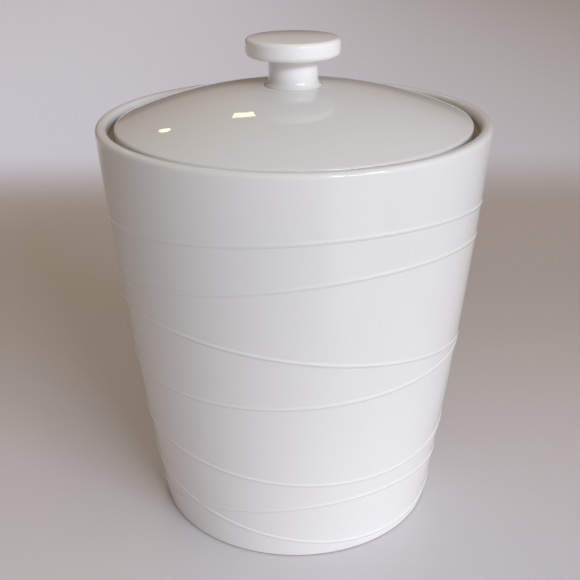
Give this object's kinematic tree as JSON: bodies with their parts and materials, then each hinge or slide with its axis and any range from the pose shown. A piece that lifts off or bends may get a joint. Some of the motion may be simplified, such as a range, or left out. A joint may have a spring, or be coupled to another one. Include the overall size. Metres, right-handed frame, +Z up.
{
  "type": "ceramic canister",
  "caption": "Tall white glazed canister with bellied sides that narrow to the foot, thin raised wandering lines, and a domed lift-off lid with a flat round knob.",
  "frame": {"origin": "centre of the foot, on the surface that the jar stands on", "axes": "+Z up along the axis that the jar and lid are turned about, -Y towards the side that the picture shows"},
  "size_m": [0.1696, 0.1696, 0.2189],
  "materials": {
    "jar_glaze": "clear gloss glaze over white body, foot ring left bare",
    "lid_glaze": "clear gloss glaze over white body, seat left bare",
    "knob_glaze": "clear gloss glaze over white body"
  },
  "bodies": {
    "jar_body": {"jar": "jar_glaze"},
    "lid_body": {"lid": "lid_glaze", "knob": "knob_glaze"}
  },
  "joints": [
    {"name": "lid_lift", "type": "slide", "parent": "jar_body", "child": "lid_body", "axis": [0, 0, 1], "range_m": [0, 0.08]}
  ]
}
